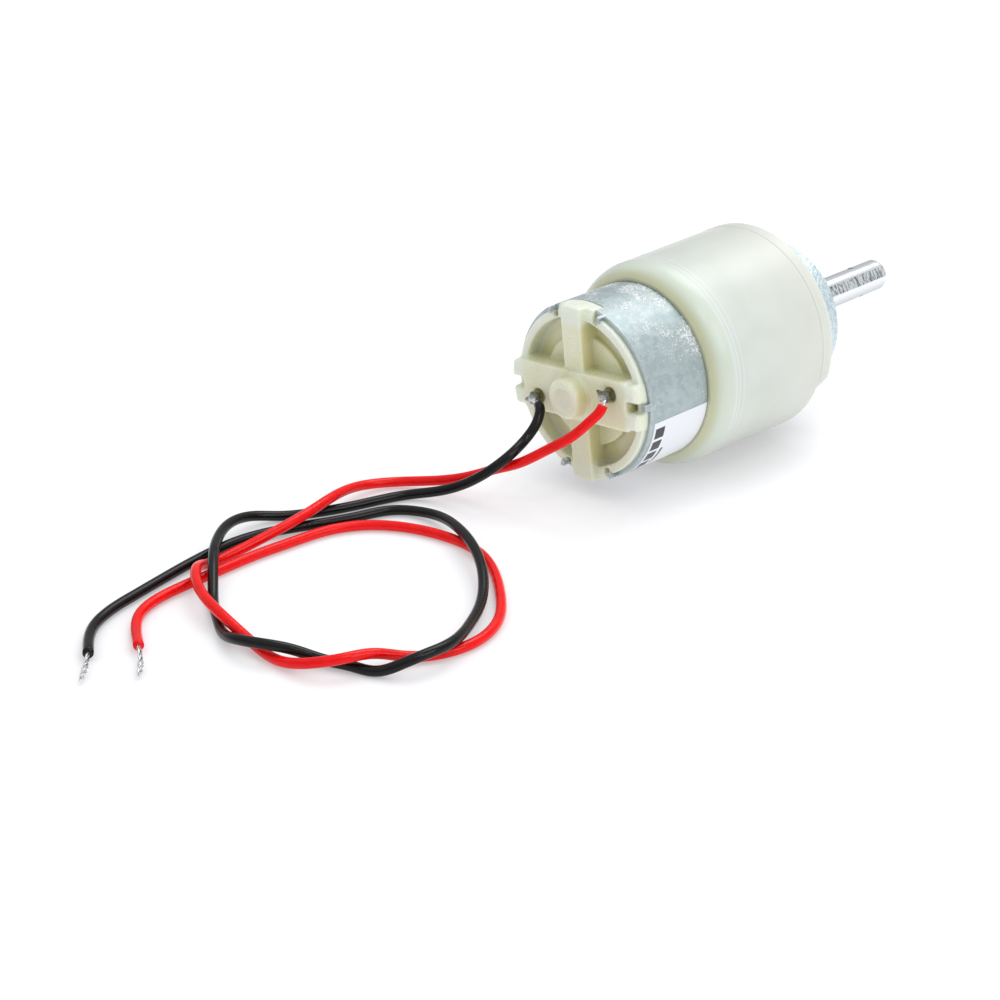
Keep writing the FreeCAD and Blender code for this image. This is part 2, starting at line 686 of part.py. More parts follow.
# --- leads ----------------------------------------------------------------------------
# Each lead is a route of points. (x, y, lift) lies on the ground, or is raised by that share
# of a crossing; (x, y, None, z) hangs at its own height. The lead is bare between its first
# two points, in the solder, and over its last three.
RED_ROUTE = [
    (-57.6, -9.1, None, 2.9), (-58.2, -9.4, None, 1.9), (-60.5, -8.6, None, -0.6),
    (-62.5, -6.3, None, -3.6), (-64.5, -2.5, None, -6.7), (-66.5, 2.4, None, -10.3),
    (-68.0, 7.1, None, -12.7), (-69.5, 11.5, None, -15.0), (-72.0, 17.0, None, -17.0),
    (-76.0, 23.0, 0.1), (-81.5, 25.5, 0.3), (-89.0, 24.3, 0.95), (-98.0, 22.0, 1.05),
    (-107.0, 21.9, 0.5), (-114.0, 22.5, 0), (-119.0, 22.3, 0), (-123.8, 19.7, 0.9),
    (-127.2, 15.5, 1.15), (-129.8, 9.5, 1.1), (-130.9, 4.0, 0.95), (-131.0, -1.0, 0.4),
    (-131.2, -6.0, 0), (-131.5, -11.0, 0.1), (-130.0, -16.5, 0.7), (-126.5, -20.0, 1.1),
    (-121.3, -21.7, 0.9), (-116.0, -24.0, 0.1), (-111.0, -26.7, 0), (-104.5, -27.5, 0),
    (-97.5, -24.8, 0), (-92.0, -19.5, 0), (-87.5, -13.5, 0), (-84.0, -5.5, 0),
    (-84.3, 2.5, 0), (-86.7, 9.0, 0), (-91.0, 14.5, 0), (-97.0, 17.7, 0),
    (-104.0, 18.7, 0), (-112.0, 19.3, 0), (-120.0, 19.2, 0), (-127.0, 19.0, 0),
    (-133.5, 18.3, 0), (-138.5, 16.0, 0), (-142.0, 12.0, 0), (-144.8, 7.5, 0.2),
    (-147.0, 4.0, 0.1), (-149.8, 0.7, 0),
]
BLACK_ROUTE = [
    (-57.9, 8.8, None, -3.2), (-58.4, 6.0, None, -2.9), (-60.5, 4.1, None, -4.6),
    (-63.0, 4.0, None, -6.9), (-66.5, 3.6, None, -8.35), (-70.0, 4.4, None, -10.3),
    (-72.5, 8.5, None, -14.0), (-75.0, 14.0, None, -17.0), (-78.5, 18.4, 0.05),
    (-83.5, 20.5, 0), (-89.0, 22.2, 0), (-94.5, 24.5, 0), (-99.5, 27.5, 0),
    (-104.5, 29.3, 0.5), (-110.0, 28.3, 1), (-115.2, 25.0, 1.2), (-120.0, 20.2, 1.2),
    (-124.0, 15.3, 0.6), (-127.3, 11.0, 0), (-130.0, 6.5, 0), (-132.4, 2.0, 0.1),
    (-133.6, -2.5, 0.7), (-132.6, -7.5, 1.1), (-129.5, -11.5, 0.8), (-126.3, -15.5, 0.1),
    (-124.3, -19.5, 0), (-122.5, -23.5, 0), (-118.5, -27.2, 0.9), (-112.5, -28.2, 1.1),
    (-103.5, -24.3, 0.5), (-95.5, -18.8, 0.3), (-90.0, -13.0, 0.8), (-85.8, -6.0, 1.1),
    (-82.3, 2.5, 0.8), (-81.0, 10.0, 0.2), (-84.0, 15.7, 0), (-90.5, 18.3, 0),
    (-97.0, 20.9, 0), (-103.0, 23.5, 0), (-109.5, 25.2, 0), (-117.0, 25.2, 0),
    (-125.0, 24.0, 0), (-135.0, 22.0, 0), (-140.5, 20.7, 0), (-145.0, 18.7, 0),
    (-149.0, 15.0, 0.1), (-152.0, 11.0, 0.2), (-154.2, 8.5, 0.1), (-157.3, 5.6, 0),
]
SECTION_STEP = 2.5
SECTIONS_IN_A_LENGTH = 8


def lead_points(route):
    points = []
    for stop in route:
        z = stop[3] if len(stop) == 4 else LEAD_Z + stop[2] * CROSSING_LIFT
        points.append(vec(stop[0], stop[1], z))
    return points


def lead_curve(route):
    curve = Part.BSplineCurve()
    curve.interpolate(lead_points(route))
    return curve


def sections(curve, start, end, radius):
    """Circles square to the curve, each turned as little as possible from the one before."""
    count = max(4, round((end - start) / SECTION_STEP))
    side = None
    circles = []
    for i in range(count + 1):
        place = start + (end - start) * i / count
        along = curve.tangent(place)[0]
        if side is None:
            side = along.cross(vec(0, 0, 1))
        side = (side - along * side.dot(along)).normalize()
        other = along.cross(side)
        centre = curve.value(place)
        circle = Part.Circle(ORIGIN, vec(0, 0, 1), radius)
        circle.transform(FreeCAD.Matrix(
            side.x, other.x, along.x, centre.x,
            side.y, other.y, along.y, centre.y,
            side.z, other.z, along.z, centre.z,
            0, 0, 0, 1,
        ))
        circles.append(Part.Wire([circle.toShape()]))
    return circles


def stretch(route, first, last, radius):
    """A round rod along the route from one of its points to another, in joined lengths."""
    curve = lead_curve(route)
    points = lead_points(route)
    start = curve.parameter(points[first])
    end = curve.parameter(points[last])
    circles = sections(curve, start, end, radius)
    lengths = []
    for i in range(0, len(circles) - 1, SECTIONS_IN_A_LENGTH):
        lengths.append(Part.makeLoft(circles[i:i + SECTIONS_IN_A_LENGTH + 1], True, False))
    if len(lengths) == 1:
        return lengths[0]
    return lengths[0].multiFuse(lengths[1:]).Solids[0]


def insulation(route):
    return stretch(route, 1, -3, LEAD_R)


def bare_ends(route):
    """The tinned strands where the insulation is stripped, at the solder and the far end."""
    return Part.makeCompound([
        stretch(route, 0, 1, CONDUCTOR_R),
        stretch(route, -3, -1, CONDUCTOR_R),
    ])


def solder(route, turn):
    """A blob of solder over the terminal and the end of the bare strands."""
    centre = cap_point(TERMINAL_A - 0.1, TERMINAL_B, SOLDER_X)
    blob = Part.makeSphere(SOLDER_R, centre)
    blob = spin(blob, turn + CAP_TURN)
    blade = spin(terminal_blade(), turn + CAP_TURN)
    return blob.cut([blade, stretch(route, 0, 1, CONDUCTOR_R), insulation(route)])


# --- every piece ----------------------------------------------------------------------
def build():
    rear_x, front_x = WEB_FRONT_X + 0.3, LID_REAR_X - 0.2
    pieces = {
        "gearbox_housing": gearbox_housing(),
        "gearbox_lid": gearbox_lid(),
        "lid_screws": lid_screws(),
        "front_boss": front_boss(),
        "boss_screws": boss_screws(),
        "output_bush": output_bush(),
        "output_shaft": output_shaft(),
        "output_gear": output_gear(),
        "retaining_ring": retaining_ring(),
        "motor_can": motor_can(),
        "motor_screws": motor_screws(),
        "end_cap": end_cap(),
        "field_magnets": field_magnets(),
        "rear_bush": motor_bush(REAR_BUSH_X),
        "front_bush": motor_bush(FRONT_BUSH_X),
        "rotor_shaft": rod(REAR_BUSH_X[0] - 0.5, LAYER_X[0] + WHEEL_WIDTH, ROTOR_SHAFT_R),
        "rotor_core": rotor_core(),
        "rotor_windings": rotor_windings(),
        "commutator": commutator(),
        "motor_pinion": motor_pinion(),
        "can_label": can_label(),
        "red_lead": insulation(RED_ROUTE),
        "red_strands": bare_ends(RED_ROUTE),
        "black_lead": insulation(BLACK_ROUTE),
        "black_strands": bare_ends(BLACK_ROUTE),
        "right_solder": solder(RED_ROUTE, 0),
        "left_solder": solder(BLACK_ROUTE, 180),
    }
    for name, turn in (("right", 0), ("left", 180)):
        pieces[name + "_terminal"] = spin(terminal_blade(), turn + CAP_TURN)
        pieces[name + "_brush"] = spin(brush(), turn + CAP_TURN)
    for name, axle in zip(("first", "second", "third"), AXLES):
        pieces[name + "_axle"] = axle_pin(axle)
    stops = [ORIGIN] + AXLES + [ORIGIN]
    gears = (
        ("first_gear", FIRST_WHEEL_TEETH),
        ("second_gear", SECOND_WHEEL_TEETH),
        ("third_gear", THIRD_WHEEL_TEETH),
    )
    for layer, (name, teeth) in enumerate(gears):
        pieces[name] = compound_gear(
            teeth, layer, stops[layer + 1], stops[layer], stops[layer + 2], rear_x, front_x
        )
    return pieces


os.makedirs("parts", exist_ok=True)
for node, shape in build().items():
    shape.exportStep("parts/" + node + ".step")
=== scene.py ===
import json
import math
import random

import bmesh
import bpy
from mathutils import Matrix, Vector, noise
from mathutils.bvhtree import BVHTree


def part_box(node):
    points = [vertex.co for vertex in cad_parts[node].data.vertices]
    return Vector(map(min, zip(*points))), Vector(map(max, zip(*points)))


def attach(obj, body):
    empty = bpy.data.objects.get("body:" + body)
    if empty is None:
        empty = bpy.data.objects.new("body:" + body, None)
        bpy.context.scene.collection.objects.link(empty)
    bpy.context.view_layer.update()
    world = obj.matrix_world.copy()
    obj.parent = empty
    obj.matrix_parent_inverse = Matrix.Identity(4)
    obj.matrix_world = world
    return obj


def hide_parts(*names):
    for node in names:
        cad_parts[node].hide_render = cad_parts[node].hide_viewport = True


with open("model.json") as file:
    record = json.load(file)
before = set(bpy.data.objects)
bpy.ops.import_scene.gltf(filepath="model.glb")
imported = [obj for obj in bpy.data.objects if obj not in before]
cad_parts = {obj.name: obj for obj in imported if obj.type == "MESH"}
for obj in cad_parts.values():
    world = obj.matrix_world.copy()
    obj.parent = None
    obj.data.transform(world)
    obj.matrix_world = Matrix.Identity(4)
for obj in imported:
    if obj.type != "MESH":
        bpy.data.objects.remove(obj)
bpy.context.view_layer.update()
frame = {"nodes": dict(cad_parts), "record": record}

MM = 0.001

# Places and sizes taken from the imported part. The lid's locating ring reaches back past the
# seam between lid and housing.
NODES = frame["nodes"]
SLOTS = {part["node"]: part["material_slot"] for part in frame["record"]["subparts"]}
CAN_REAR_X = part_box("motor_can")[0].x
HOUSING_REAR_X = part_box("gearbox_housing")[0].x
LABEL_REAR_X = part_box("can_label")[0].x
LOCATING_RING = 1.2 * MM
SEAM_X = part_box("gearbox_lid")[0].x + LOCATING_RING
GROUND_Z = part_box("gearbox_lid")[0].z

# Faint moulded rings round the housing, their pale colour a painted highlight:
# (place from its rear end, width in mm, strength).
RING_RELIEF_AND_HIGHLIGHTS = ((4.4 * MM, 1.1, 0.30), (5.3 * MM, 0.6, 0.45), (6.4 * MM, 0.9, 0.22))

# The output shaft: its radius, the way its flat faces and a span that holds its cross hole.
SHAFT_R = 3.0 * MM
FLAT_TURN = math.radians(149.0)
CROSS_HOLE = (18 * MM, 22 * MM)

# The label's bars: spans from its rear edge, spans round the can in degrees, and
# how they repeat, as a pitch in degrees and a gap's share of it.
BIG_BARS = (0.5 * MM, 2.8 * MM)
BIG_BARS_TURN = (-171, -52)
BIG_BARS_REPEAT = (10.0, 0.22)
SMALL_BARS = (3.6 * MM, 4.2 * MM)
SMALL_BARS_TURN = (-152, -60)
SMALL_BARS_REPEAT = (22.0, 0.08)

# How many bands a wave texture has in a metre at a scale of 1.
WAVE_BANDS = 3.2

# The walk that finds the centre line of a CAD rod. A wall ahead that is this square on to
# the walk is the rod's end.
WALK_STEP = 0.5 * MM
FIRST_STEP = 0.1 * MM
LOOK_AHEAD = 0.6 * MM
MOST_STEPS = 1800
SQUARE_ON = 0.93
WALL_RAYS = 12
FEWEST_HITS = 9
WALL_REACH = 2 * MM
TOUCHING = 0.05 * MM

# The leads' insulation, most of it in shares of LEAD_R. FIT keeps its uneven skin inside
# the CAD rod, the pinch is just behind each cut end, and the mouth is the hollow in it.
LEAD_R = 0.92 * MM
LEAD_SIDES = 24
FIT = 0.98
UNEVEN = 0.016
UNEVEN_LENGTH = 7 * MM
UNEVEN_ROUND = 0.35
PINCH = 0.03
LIP_R = 0.62 * LEAD_R
LIP_SETBACK = 0.02 * MM
MOUTH_R = 0.52 * LEAD_R
MOUTH_DEPTH = 0.45 * LEAD_R

# The bare strands: a core wire, and the rest twisted round it on a circle, from roots back
# inside the insulation. At the free end each is frayed by its own amount, which adds to its
# twist and bulges it out.
WIRES = 8
WIRE_SIDES = 8
WIRE_R = 0.115 * MM
WIRE_TIP_R = 0.4 * WIRE_R
WIRE_CIRCLE_R = 0.27 * MM
WIRE_STEP = 0.12 * MM
WIRE_ROOTS = (0.9 * MM, 0.4 * MM)
TWIST_TURNS = 1.6
FRAY_TWIST = 0.12
FRAY_BULGE = 0.22 * MM
BULGE_LENGTH = 0.2
FIXED_FRAY = 0.2
FREE_FRAY = (0.15, 1.0)
BULGE_PLACE = (0.62, 0.75)
SHORTFALL = (0.0, 0.10)
TURN_ERROR = 0.2

# The solder beads, in shares of half the CAD blob's box: the radius, lumps as (height,
# pattern scale), and spikes as (height, sharpness).
BEAD_R = 0.74
BEAD_LUMPS = ((0.12, 1.4), (0.03, 3.5))
TIP_SPIKE = (0.55, 12.0)
WIRE_SPIKE = (0.22, 3.0)
SMALL_SPIKES = 3
SMALL_HEIGHTS = (0.06, 0.14)
SMALL_SHARPNESSES = (8, 14)

# The view: a long lens, behind the motor and a little above it.
CAMERA_PLACE = Vector((-0.3388, -0.2781, 0.1791))
CAMERA_AZIMUTH = math.radians(-43.65)
CAMERA_ELEVATION = math.radians(26.70)
LENS_MM = 90.0
SENSOR_MM = 36.0

# The studio: (name, place, width, power) of each lamp, and (height, brightness) of the room.
LAMPS = (
    ("key", (0.40, 0.12, 0.80), 0.65, 3.0),
    ("fill", (0.1, -0.9, 0.55), 0.6, 2.2),
    ("glint", (-0.15, -0.45, 0.75), 0.09, 0.45),
)
LAMP_AIM = Vector((-0.04, 0, 0))
ROOM_LEVELS = ((0.0, 0.50), (0.25, 0.52), (0.55, 0.62), (0.8, 0.90))
ROOM_TINT = (0.97, 0.985, 1.0)
FLOOR_SIZE = 6.0
FLOOR_GAP = 0.1 * MM


# --- node trees -----------------------------------------------------------------------
class Shader:
    """A material's node tree, with short calls that each add and wire one node."""

    def __init__(self, name):
        self.material = bpy.data.materials.new(name)
        self.material.use_nodes = True
        self.tree = self.material.node_tree
        self.surface = self.tree.nodes["Principled BSDF"]
        self.place = self.add("ShaderNodeTexCoord").outputs["Object"]

    def add(self, kind, **settings):
        node = self.tree.nodes.new(kind)
        for key, value in settings.items():
            setattr(node, key, value)
        return node

    def put(self, socket, value):
        """Links a socket to another, or gives it a plain value."""
        if isinstance(value, bpy.types.NodeSocket):
            self.tree.links.new(value, socket)
        elif isinstance(value, tuple) and len(value) == 3 and socket.type == "RGBA":
            socket.default_value = (*value, 1.0)
        else:
            socket.default_value = value

    def set(self, **inputs):
        """Sets the surface's inputs; an underscore in a name stands for a space."""
        for key, value in inputs.items():
            self.put(self.surface.inputs[key.replace("_", " ")], value)

    # Patterns.
    def stretched(self, stretch):
        node = self.add("ShaderNodeMapping")
        self.put(node.inputs["Vector"], self.place)
        node.inputs["Scale"].default_value = stretch
        return node.outputs["Vector"]

    def noise(self, size_mm, detail=4.0, roughness=0.5, stretch=None, distortion=0.0):
        node = self.add("ShaderNodeTexNoise")
        self.put(node.inputs["Vector"], self.stretched(stretch) if stretch else self.place)
        node.inputs["Scale"].default_value = 1 / (size_mm * MM)
        node.inputs["Detail"].default_value = detail
        node.inputs["Roughness"].default_value = roughness
        node.inputs["Distortion"].default_value = distortion
        return node.outputs["Fac"]

    def cells(self, size_mm, feature="F1", output="Distance"):
        node = self.add("ShaderNodeTexVoronoi", feature=feature)
        self.put(node.inputs["Vector"], self.place)
        node.inputs["Scale"].default_value = 1 / (size_mm * MM)
        return node.outputs[output]

    def waves(self, size_mm, distortion=0.0):
        """Bands across X, one every size."""
        node = self.add("ShaderNodeTexWave", bands_direction="X")
        self.put(node.inputs["Vector"], self.place)
        node.inputs["Scale"].default_value = 1 / (size_mm * MM * WAVE_BANDS)
        node.inputs["Distortion"].default_value = distortion
        return node.outputs["Fac"]

    def specks(self, spacing_mm, size):
        """1 at the middle of scattered dots, whose size is a share of their spacing."""
        return self.span(self.cells(spacing_mm), 0.0, size, 1, 0)

    # Arithmetic.
    def math(self, operation, a, b=0.0):
        node = self.add("ShaderNodeMath", operation=operation)
        self.put(node.inputs[0], a)
        self.put(node.inputs[1], b)
        return node.outputs["Value"]

    def plus(self, a, b):
        return self.math("ADD", a, b)

    def times(self, a, b):
        return self.math("MULTIPLY", a, b)

    def most(self, a, b):
        return self.math("MAXIMUM", a, b)

    def span(self, value, low, high, start=0.0, end=1.0, smooth=False):
        """Maps low..high onto start..end, held at both ends."""
        node = self.add("ShaderNodeMapRange")
        node.interpolation_type = "SMOOTHSTEP" if smooth else "LINEAR"
        self.put(node.inputs["Value"], value)
        self.put(node.inputs["From Min"], low)
        self.put(node.inputs["From Max"], high)
        self.put(node.inputs["To Min"], start)
        self.put(node.inputs["To Max"], end)
        return node.outputs["Result"]

    def rise(self, value, low, high):
        """0 up to low, 1 from high on, with a soft slope between."""
        return self.span(value, low, high, 0, 1, smooth=True)

    def fall(self, value, low, high):
        """1 up to low, 0 from high on, with a soft slope between."""
        return self.span(value, low, high, 1, 0, smooth=True)

    def window(self, value, low, high):
        """1 between two values, 0 outside them."""
        above = self.math("GREATER_THAN", value, low)
        return self.times(above, self.math("LESS_THAN", value, high))

    def dashes(self, value, pitch, gap):
        """Repeats of 1 with gaps of 0 after them; gap is a share of the pitch."""
        place = self.math("FLOORED_MODULO", self.math("DIVIDE", value, pitch), 1.0)
        return self.math("LESS_THAN", place, 1 - gap)

    def line(self, value, centre, width_mm):
        """1 at one value, fading to 0 half a width away on both sides."""
        away = self.math("ABSOLUTE", self.math("SUBTRACT", value, centre))
        return self.fall(away, 0, width_mm / 2 * MM)

    def mix(self, share, a, b):
        node = self.add("ShaderNodeMix", data_type="RGBA")
        self.put(node.inputs["Factor"], share)
        self.put(node.inputs[6], a)
        self.put(node.inputs[7], b)
        return node.outputs[2]

    def tint(self, base, colour, share, strength):
        """Moves a colour towards another where the share is high, at most by the strength."""
        return self.mix(self.times(share, strength), base, colour)

    # Places and directions on the part.
    def axis(self, name):
        node = self.add("ShaderNodeSeparateXYZ")
        self.put(node.inputs[0], self.place)
        return node.outputs[name]

    def radius(self):
        """The distance from the shaft's axis."""
        y, z = self.axis("Y"), self.axis("Z")
        return self.math("SQRT", self.plus(self.times(y, y), self.times(z, z)))

    def angle(self):
        """The angle around the shaft in degrees, from -180 to 180, from +Y towards +Z."""
        return self.times(self.math("ARCTAN2", self.axis("Z"), self.axis("Y")), 180 / math.pi)

    def dot(self, a, b):
        node = self.add("ShaderNodeVectorMath", operation="DOT_PRODUCT")
        self.put(node.inputs[0], a)
        self.put(node.inputs[1], b)
        return node.outputs["Value"]

    def facing(self, direction):
        """How squarely the surface faces a direction, from -1 to 1."""
        turned = self.add("ShaderNodeVectorTransform", vector_type="NORMAL")
        turned.convert_from = "WORLD"
        turned.convert_to = "OBJECT"
        self.put(turned.inputs[0], self.add("ShaderNodeNewGeometry").outputs["Normal"])
        return self.dot(turned.outputs[0], direction)

    def grazing(self):
        """0 where the surface faces the camera, rising to 1 at its outline."""
        node = self.add("ShaderNodeLayerWeight")
        node.inputs["Blend"].default_value = 0.5
        return node.outputs["Facing"]

    def recess(self, reach_mm):
        """1 on open surfaces, falling to 0 in corners and pockets."""
        node = self.add("ShaderNodeAmbientOcclusion")
        node.inputs["Distance"].default_value = reach_mm * MM
        node.samples = 8
        return node.outputs["AO"]

    def rounded(self, radius_mm):
        """The normal of a surface whose edges are rounded off."""
        bevel = self.add("ShaderNodeBevel")
        bevel.inputs["Radius"].default_value = radius_mm * MM
        return bevel.outputs[0]

    def edges(self, radius_mm):
        """1 along sharp edges, where rounding them would turn the normal by 40 degrees."""
        plain = self.add("ShaderNodeNewGeometry").outputs["Normal"]
        return self.span(self.dot(self.rounded(radius_mm), plain), 0.98, 0.75)

    def bump(self, *layers, rounded_mm=0.0):
        """Stacks (height, depth in mm) layers, over softly rounded edges if asked."""
        normal = self.rounded(rounded_mm) if rounded_mm else None
        for height, depth_mm in layers:
            node = self.add("ShaderNodeBump")
            node.inputs["Distance"].default_value = depth_mm * MM
            self.put(node.inputs["Height"], height)
            if normal is not None:
                self.put(node.inputs["Normal"], normal)
            normal = node.outputs[0]
        self.put(self.surface.inputs["Normal"], normal)


# --- plastics -------------------------------------------------------------------------
def milky_plastic():
    """Translucent moulding: clouded, olive at the rear opening, with moulded ring lines whose pale
    colour is a painted highlight, and painted shade on the underside and at the outline.
    """
    s = Shader("milky_plastic")
    cloud = s.noise(9, 3, 0.5)
    fine = s.noise(0.35, 4, 0.6)
    along = s.axis("X")
    rear = HOUSING_REAR_X
    warm = s.rise(along, rear + 8 * MM, rear + 27 * MM)
    corner = s.fall(along, rear + 3.4 * MM, rear + 5.4 * MM)
    opening = s.fall(along, rear + 0.1 * MM, rear + 1.9 * MM)
    # Painted highlight: the rings' pale blue-white colour below; their relief goes into the bump.
    rings = 0.0
    for place, width_mm, strength in RING_RELIEF_AND_HIGHLIGHTS:
        ring = s.times(s.line(along, rear + place, width_mm), strength)
        rings = s.most(rings, ring)
    # Painted shade: darker towards the underside.
    under = s.fall(s.axis("Z"), -18.5 * MM, -7 * MM)
    # Painted shade: greyer where the surface turns away from the camera, at its outline.
    outline = s.rise(s.grazing(), 0.35, 0.9)
    body = s.mix(s.span(cloud, 0.35, 0.7), (0.69, 0.725, 0.68), (0.63, 0.675, 0.61))
    body = s.tint(body, (0.75, 0.75, 0.68), warm, 0.5)
    body = s.tint(body, (0.65, 0.72, 0.62), corner, 0.8)
    body = s.tint(body, (0.56, 0.56, 0.32), opening, 0.75)
    body = s.mix(rings, body, (0.80, 0.90, 0.93))
    body = s.tint(body, (0.50, 0.52, 0.44), under, 0.45)
    body = s.tint(body, (0.52, 0.54, 0.49), outline, 0.4)
    body = s.tint(body, (0.36, 0.33, 0.26), s.specks(3.1, 0.03), 0.35)
    # Light that scatters inside would leave a dark band at the seam with the lid.
    scatter = s.span(s.line(along, SEAM_X, 3.0), 0, 0.6, 0.8, 0.0)
    s.set(
        Base_Color=body,
        Roughness=s.span(fine, 0.3, 0.7, 0.30, 0.40),
        IOR=1.49,
        Subsurface_Weight=scatter,
        Subsurface_Scale=2.4 * MM,
        Subsurface_Radius=(1.0, 1.0, 0.85),
        Coat_Weight=0.2,
        Coat_Roughness=0.22,
    )
    flow = s.noise(3.0, 3, 0.5, stretch=(0.25, 1, 1))
    scuffs = s.span(s.noise(0.8, 6, 0.7, stretch=(0.12, 1, 1)), 0.62, 0.75)
    s.bump((rings, 0.05), (fine, 0.012), (flow, 0.05), (scuffs, -0.008), rounded_mm=0.12)
    return s.material


def cream_plastic():
    """Waxy cream moulding. Painted shade deepens it to olive in recesses, on side and up-facing walls
    and towards the bottom; painted light pales its rearmost faces.
    """
    s = Shader("cream_plastic")
    cloud = s.noise(4, 3, 0.5)
    fine = s.noise(0.25, 5, 0.6)
    # Painted light: the rearmost faces of the cap are paler.
    painted_raised_light = s.span(s.axis("X"), CAN_REAR_X - 4.5 * MM, CAN_REAR_X - 1.0 * MM, 1, 0)
    # Painted shade: olive in corners and pockets, from ambient occlusion.
    pocket = s.span(s.recess(4.5), 0.25, 0.95, 1, 0)
    # Painted shade: olive-yellow on walls facing -Y.
    painted_side_shade = s.rise(s.facing((0, -1, 0)), 0.35, 0.9)
    # Painted shade: darker olive on walls facing up.
    painted_upward_shade = s.rise(s.facing((0, 0, 1)), 0.4, 0.9)
    outer = s.rise(s.radius(), 12.2 * MM, 13.4 * MM)
    # Painted shade: darker towards the bottom.
    low = s.fall(s.axis("Z"), -14 * MM, -3 * MM)
    body = s.mix(s.span(cloud, 0.3, 0.7), (0.86, 0.89, 0.72), (0.80, 0.82, 0.60))
    body = s.tint(body, (0.84, 0.90, 0.78), painted_raised_light, 0.5)
    body = s.tint(body, (0.58, 0.56, 0.25), pocket, 0.9)
    body = s.tint(body, (0.66, 0.60, 0.30), painted_side_shade, 0.65)
    body = s.tint(body, (0.66, 0.64, 0.40), painted_upward_shade, 0.4)
    body = s.tint(body, (0.84, 0.92, 0.88), outer, 0.55)
    body = s.tint(body, (0.56, 0.56, 0.36), low, 0.4)
    body = s.tint(body, (0.06, 0.05, 0.04), s.specks(2.1, 0.05), 0.8)
    s.set(
        Base_Color=body,
        Roughness=s.span(fine, 0.3, 0.7, 0.24, 0.34),
        IOR=1.5,
        Subsurface_Weight=0.7,
        Subsurface_Scale=1.4 * MM,
        Subsurface_Radius=(1.0, 0.95, 0.55),
    )
    s.bump((fine, 0.006), (s.noise(1.8, 3, 0.5), 0.06), rounded_mm=0.3)
    return s.material


def pvc(name, colour, sheen_colour):
    """Soft glossy insulation, with a faint grain, handling marks and dust."""
    s = Shader(name)
    fine = s.noise(0.18, 4, 0.6)
    marks = s.noise(2.4, 5, 0.65)
    dust = s.span(s.noise(0.5, 6, 0.8), 0.68, 0.8)
    body = s.mix(s.span(marks, 0.35, 0.75), colour, sheen_colour)
    body = s.tint(body, (0.6, 0.6, 0.6), dust, 0.12)
    s.set(
        Base_Color=body,
        Roughness=s.span(marks, 0.3, 0.7, 0.15, 0.26),
        IOR=1.45,
        Specular_IOR_Level=0.3,
    )
    s.bump((fine, 0.01), (marks, 0.05))
    return s.material


def paper_label():
    """Coated white paper with two rows of plain dark bars near the can's rear edge."""
    s = Shader("label_paper")
    along = s.math("SUBTRACT", s.axis("X"), LABEL_REAR_X)
    turn = s.angle()
    from_first = s.math("SUBTRACT", turn, BIG_BARS_TURN[0])
    big = s.times(s.window(along, *BIG_BARS), s.window(turn, *BIG_BARS_TURN))
    big = s.times(big, s.dashes(from_first, *BIG_BARS_REPEAT))
    small = s.times(s.window(along, *SMALL_BARS), s.window(turn, *SMALL_BARS_TURN))
    small = s.times(small, s.dashes(turn, *SMALL_BARS_REPEAT))
    worn = s.span(s.noise(0.5, 6, 0.75), 0.62, 0.72, 1, 0.4)
    ink = s.times(s.most(big, small), worn)
    fibre = s.noise(0.3, 6, 0.7)
    paper = s.mix(fibre, (0.90, 0.92, 0.96), (0.80, 0.83, 0.88))
    s.set(
        Base_Color=s.mix(ink, paper, (0.02, 0.02, 0.025)),
        Roughness=s.span(fibre, 0.3, 0.7, 0.32, 0.45),
        Coat_Weight=0.2,
        Coat_Roughness=0.3,
    )
    s.bump((fibre, 0.012))
    return s.material


# --- metals ---------------------------------------------------------------------------
def galvanised_steel():
    """Zinc-coated sheet: pale blue-grey spangle under a crowd of bright nicks and scratches, thicker
    on top as a painted glint, with a painted highlight along its sharp edges.
    """
    s = Shader("galvanised_steel")
    spangle = s.add("ShaderNodeRGBToBW")
    s.put(spangle.inputs[0], s.cells(1.1, output="Color"))
    grain = s.noise(0.14, 6, 0.75)
    lines = s.noise(0.5, 5, 0.7, stretch=(0.04, 1, 1))
    # The nicks crowd in patches, on the top and towards the gearbox; crowding them on the top paints
    # in glints where light would catch them.
    top = s.rise(s.facing((0, 0, 1)), 0.2, 0.95)
    front = s.span(s.axis("X"), CAN_REAR_X + 9 * MM, CAN_REAR_X + 14 * MM, 0, 0.6)
    crowd = s.times(s.plus(top, front), s.span(s.noise(5, 3, 0.6), 0.35, 0.65))
    lowest = s.span(crowd, 0, 1, 0.62, 0.49)
    nicks = s.span(s.noise(0.42, 8, 0.85), lowest, s.plus(lowest, 0.03))
    threads = s.span(s.noise(1.3, 9, 0.95, distortion=2.6), 0.615, 0.64)
    bright = s.most(nicks, s.times(threads, 0.85))
    patch = s.span(s.noise(2.5, 5, 0.7), 0.45, 0.7)
    tone = s.mix(s.span(spangle.outputs[0], 0.2, 0.8, 0, 0.6), (0.40, 0.48, 0.49), (0.56, 0.63, 0.64))
    tone = s.tint(tone, (0.38, 0.46, 0.47), s.span(lines, 0.35, 0.65), 0.4)
    tone = s.tint(tone, (0.72, 0.78, 0.78), patch, 0.2)
    tone = s.tint(tone, (0.97, 0.98, 0.99), bright, 0.9)
    # Painted highlight: sharp edges and rims painted near-white.
    tone = s.mix(s.edges(0.25), tone, (0.94, 0.96, 0.97))
    s.set(
        Base_Color=tone,
        Metallic=s.span(bright, 0, 1, 0.85, 0.0),
        Roughness=s.span(grain, 0.3, 0.7, 0.40, 0.60),
    )
    s.bump((grain, 0.02), (lines, 0.015), (bright, 0.015), rounded_mm=0.12)
    return s.material


